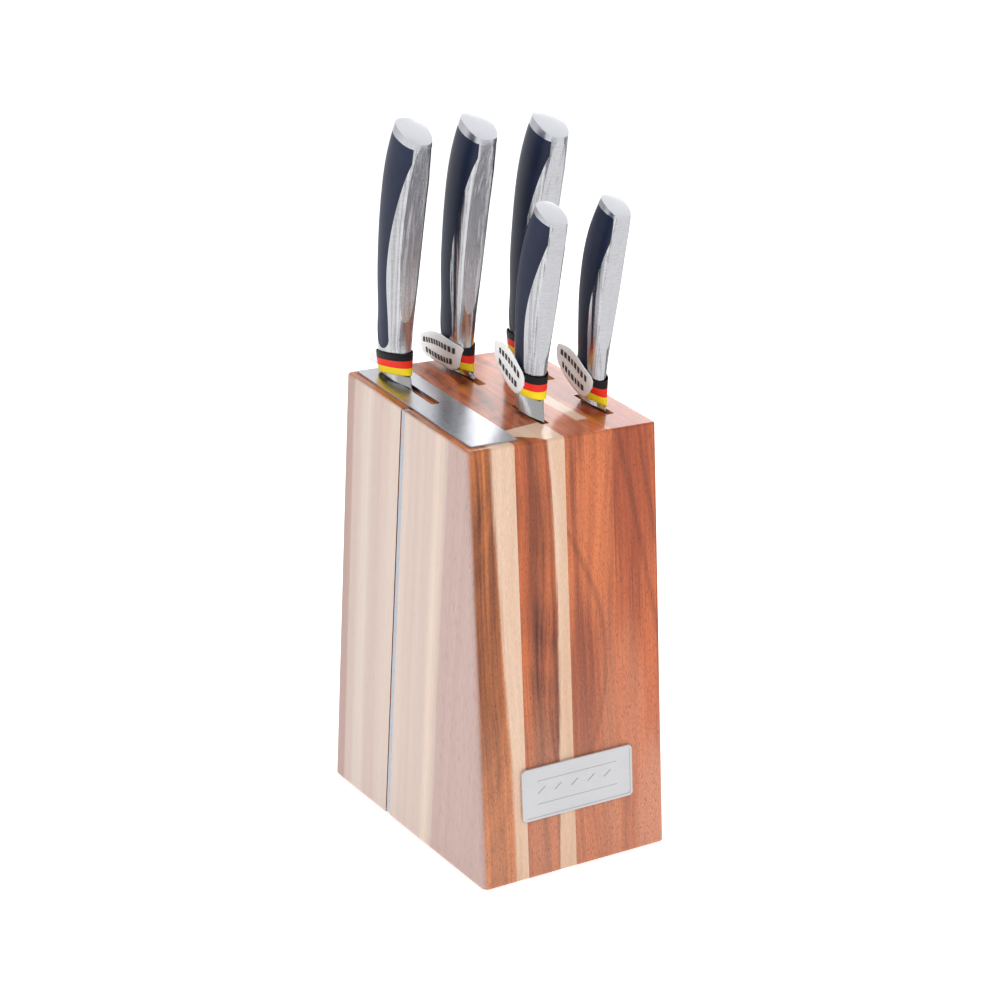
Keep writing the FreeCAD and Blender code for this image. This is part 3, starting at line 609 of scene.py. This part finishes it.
def add_band(sheets, knife):
    """Striped band round the handle, slightly uneven as wrapped paper is."""
    tilt = math.tan(math.radians(knife["tilt"]))
    rows = []
    for level in range(LEVELS + 1):
        row = []
        for j in range(AROUND):
            angle = 2 * math.pi * j / AROUND
            swell = BAND_GAP + 0.16 * math.sin(2 * angle + knife["x"]) + 0.10 * math.sin(3 * angle)
            h = knife["middle"] + BAND_H * (level / LEVELS - 0.5)
            s = ring_point(knife, h, angle, swell)[1]
            h += s * tilt + 0.25 * math.sin(2 * angle + 1.0)
            x, s = ring_point(knife, max(h, BAND_LOW), angle, swell)
            row.append((x, s, max(h, PAPER_CLEAR + 0.02 * level)))
        rows.append(row)
    stripes = (GOLD, RED, BLACK)
    sheets.grid(rows, lambda i: stripes[min(2, i * 3 // LEVELS)], closed=True)


def label_span(knife):
    """Front and rear end of the label, along s."""
    centre, front, rear = station_at(knife, knife["middle"])[:3]
    if knife["kind"] == "behind":
        return centre + rear + BAND_GAP, centre + rear + BAND_GAP + knife["label_end"]
    return centre - front - 1.0 + knife["inset"], centre + rear + knife["label_end"]


def label_point(knife, along, up, lift):
    """Point of the label at a place along it and a share of its half height."""
    start, end = label_span(knife)
    centre = station_at(knife, knife["middle"])[0]
    lean = math.tan(math.radians(knife["label_tilt"]))
    level = knife["middle"] + knife["label_up"]
    reach = label_half_height(along, start, end, LABEL_CORNER if up > 0 else knife["cut"])
    h = max(level + (along - centre) * lean + up * reach, PAPER_CLEAR)
    if knife["kind"] == "behind":
        curl = 1.6 * ((along - start) / (end - start)) ** 2
        return (-curl - lift, along, h)
    side = 1.0 if knife["kind"] == "right" else -1.0
    c, front, _, thick = station_at(knife, h)[:4]
    grow = LABEL_GAP + lift
    if along >= c:
        curl = 0.0016 * max(0.0, along - c) ** 2
        return (side * (thick + grow + curl), along, h)
    part = min(1.0, (c - along) / (front + grow))
    return (side * (thick + grow) * (1 - part ** 2.0) ** 0.5, along, h)


def add_label(sheets, knife):
    start, end = label_span(knife)
    length = end + LABEL_NOSE - start
    rows = []
    for i in range(COLUMNS + 1):
        along = start + length * (1 - math.cos(math.pi * i / COLUMNS)) / 2
        rows.append([label_point(knife, along, 2.0 * j / HEIGHTS - 1.0, 0.0) for j in range(HEIGHTS + 1)])
    sheets.grid(rows, lambda i: WHITE)


def add_bars(sheets, knife):
    """Neutral printed bars of uneven width, in two gentle arcs."""
    start, end = label_span(knife)
    first, last = start + 3.0, end - 1.6
    draw = random.Random(knife["name"])
    for line, size, inset in BAR_LINES:
        along = first + inset
        while along < last - inset:
            width = draw.choice(BAR_WIDTHS)
            half = size / label_half_height(along, start, end, LABEL_CORNER) / 2
            bar = [[label_point(knife, along + width * step / BAR_STEPS, edge, INK_LIFT)
                    for edge in (line - half, line + half)] for step in range(BAR_STEPS + 1)]
            sheets.grid(bar, lambda i: INK)
            along += width + BAR_SPACE


def make_tag(knife):
    sheets = Sheets()
    add_band(sheets, knife)
    add_label(sheets, knife)
    if knife["kind"] != "behind":
        add_bars(sheets, knife)
    item = sheets.piece(knife["name"] + "_paper_tag", PAPERS, knife, PAPER_THICK)
    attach(item, knife["name"] + "_knife")
    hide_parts(knife["name"] + "_tag")


for knife in KNIVES:
    make_tag(knife)


# ---- stage, lights, camera -----------------------------------------------------------------------
FLOOR_HALF = 9.0
# Mirror reflections don't see the lights. They see the cards below, the floor and the world. The
# ring is a bright disc and, round it, a floor card and a wall card for each sector: (from, to, glow),
# in degrees from +X. Places and glows suit the main view; from elsewhere some blades clip to white.
RING = [
    (100, 140, 0.86), (140, 160, 1.0), (160, 172, 0.6), (172, 190, 1.0), (190, 202, 0.55), (202, 222, 1.1),
    (222, 232, 0.4), (232, 250, 1.05), (250, 262, 0.4), (262, 278, 1.0), (278, 288, 0.5), (288, 312, 0.88),
    (312, 328, 0.95), (328, 352, 0.12), (352, 400, 0.5), (400, 460, 0.9),
]
RING_NEAR, RING_FAR, RING_TOP, RING_FLOOR = 0.32, 0.60, 0.26, 0.003
RING_FLOOR_SIDES, RING_FLOOR_GLOW = 36, 0.86
TOP_MIRROR = (0.49, 0.74, 0.46)             # the main view's direction, mirrored in the top face
CAP_MIRROR = (0.49, 0.5, 0.71)              # roughly the same for the butt caps
TOP_MIDDLE, CAPS_MIDDLE = (0.0, 0.0, 0.21), (0.0, 0.0, 0.33)
# lights: (name, place, size, power), all aimed at the block's middle
BLOCK_MIDDLE = Vector((0.0, 0.0, 0.16))
SOFTBOXES = [
    ("left_softbox", (-1.2, 0.35, 0.75), (1.4, 1.2), 6.0),
    ("front_softbox", (0.3, -1.3, 1.3), (1.0, 0.8), 9.0),
    ("top_softbox", (0.2, 0.7, 1.5), (1.2, 1.2), 13.0),
]
WORLD_GLOW = 0.55
AZIMUTH, ELEVATION, DISTANCE = math.radians(-30.96), math.radians(17.37), 1.015
AIM = Vector((0.01085, 0.01232, 0.15424))
LENS, SENSOR = 75.76, 36.0


def plane(name, corners, material, hidden=False):
    mesh = bpy.data.meshes.new(name)
    mesh.from_pydata(corners, [], [tuple(range(len(corners)))])
    mesh.materials.append(material)
    item = bpy.data.objects.new(name, mesh)
    bpy.context.scene.collection.objects.link(item)
    item.visible_camera = not hidden
    return item


def stage_material(name, tone, glow):
    g = Graph(name)
    return g.surface(Base_Color=(tone, tone, tone, 1.0), Roughness=0.7,
                     Emission_Color=(1.0, 1.0, 1.0, 1.0), Emission_Strength=glow)


def card(name, corners, glow):
    """Plane that only mirror reflections see; it neither lights nor shades anything."""
    item = plane(name, corners, stage_material(name + "_glow", 0.0, glow), hidden=True)
    item.visible_diffuse = False
    item.visible_shadow = False
    item.visible_transmission = False


def polar(radius, degrees, z):
    return (radius * math.cos(math.radians(degrees)), radius * math.sin(math.radians(degrees)), z)


def facing_card(name, aim, direction, distance, spans, glow):
    """Card square to a direction from aim; spans are left, right, down and up of that line."""
    direction = Vector(direction).normalized()
    across = direction.cross(Vector((0.0, 0.0, 1.0))).normalized()
    rise = across.cross(direction)
    middle = Vector(aim) + distance * direction
    left, right, down, up = spans
    card(name, [middle + u * across + v * rise for u, v in
                ((left, down), (right, down), (right, up), (left, up))], glow)


def make_stage():
    plane("floor", [(-FLOOR_HALF, -FLOOR_HALF, 0), (FLOOR_HALF, -FLOOR_HALF, 0),
                    (FLOOR_HALF, FLOOR_HALF, 0), (-FLOOR_HALF, FLOOR_HALF, 0)],
          stage_material("floor_white", 0.86, 0.60))
    turn = 360.0 / RING_FLOOR_SIDES
    disc = [polar(RING_NEAR + 0.01, turn * step, RING_FLOOR - 0.001) for step in range(RING_FLOOR_SIDES)]
    card("ring_floor", disc, RING_FLOOR_GLOW)
    for number, (first, last, glow) in enumerate(RING, start=1):
        outer = [polar(RING_FAR, first, RING_FLOOR), polar(RING_FAR, last, RING_FLOOR)]
        inner = [polar(RING_NEAR, first, RING_FLOOR), polar(RING_NEAR, last, RING_FLOOR)]
        upper = [polar(RING_FAR, last, RING_TOP), polar(RING_FAR, first, RING_TOP)]
        card("ring_far_%d" % number, inner + outer[::-1], glow)
        card("ring_wall_%d" % number, outer + upper, glow)
    facing_card("top_wash", TOP_MIDDLE, TOP_MIRROR, 0.45, (-0.012, 0.30, -0.18, 0.12), 2.9)
    facing_card("plate_sheen", TOP_MIDDLE, TOP_MIRROR, 0.46, (-0.30, -0.012, -0.18, 0.12), 1.06)
    facing_card("cap_sheen", CAPS_MIDDLE, CAP_MIRROR, 0.8, (-0.6, 0.6, -0.35, 0.6), 1.0)


def area_light(name, place, size, power):
    """Softbox that lights surfaces but isn't seen by the camera or in reflections."""
    light = bpy.data.lights.new(name, "AREA")
    light.shape = "RECTANGLE"
    light.size, light.size_y = size
    light.energy = power
    item = bpy.data.objects.new(name, light)
    item.location = place
    item.rotation_euler = (BLOCK_MIDDLE - Vector(place)).to_track_quat("-Z", "Y").to_euler()
    item.visible_camera = False
    item.visible_glossy = False
    bpy.context.scene.collection.objects.link(item)


def make_world():
    world = bpy.data.worlds.new("studio")
    world.use_nodes = True
    tree = world.node_tree
    tree.nodes.clear()
    out = tree.nodes.new("ShaderNodeOutputWorld")
    background = tree.nodes.new("ShaderNodeBackground")
    background.inputs["Color"].default_value = (1.0, 1.0, 1.0, 1.0)
    background.inputs["Strength"].default_value = WORLD_GLOW
    tree.links.new(background.outputs[0], out.inputs["Surface"])
    bpy.context.scene.world = world


def make_camera():
    back = Vector((math.sin(AZIMUTH) * math.cos(ELEVATION), -math.cos(AZIMUTH) * math.cos(ELEVATION),
                   math.sin(ELEVATION)))
    camera_data = bpy.data.cameras.new("camera")
    camera_data.lens = LENS
    camera_data.sensor_width = SENSOR
    camera_data.clip_start = 0.05
    camera_data.clip_end = 40.0
    camera = bpy.data.objects.new("camera", camera_data)
    camera.location = AIM + DISTANCE * back
    camera.rotation_euler = (-back).to_track_quat("-Z", "Y").to_euler()
    bpy.context.scene.collection.objects.link(camera)
    bpy.context.scene.camera = camera


make_stage()
for softbox in SOFTBOXES:
    area_light(*softbox)
make_world()
make_camera()
bpy.context.scene.view_settings.view_transform = "Standard"
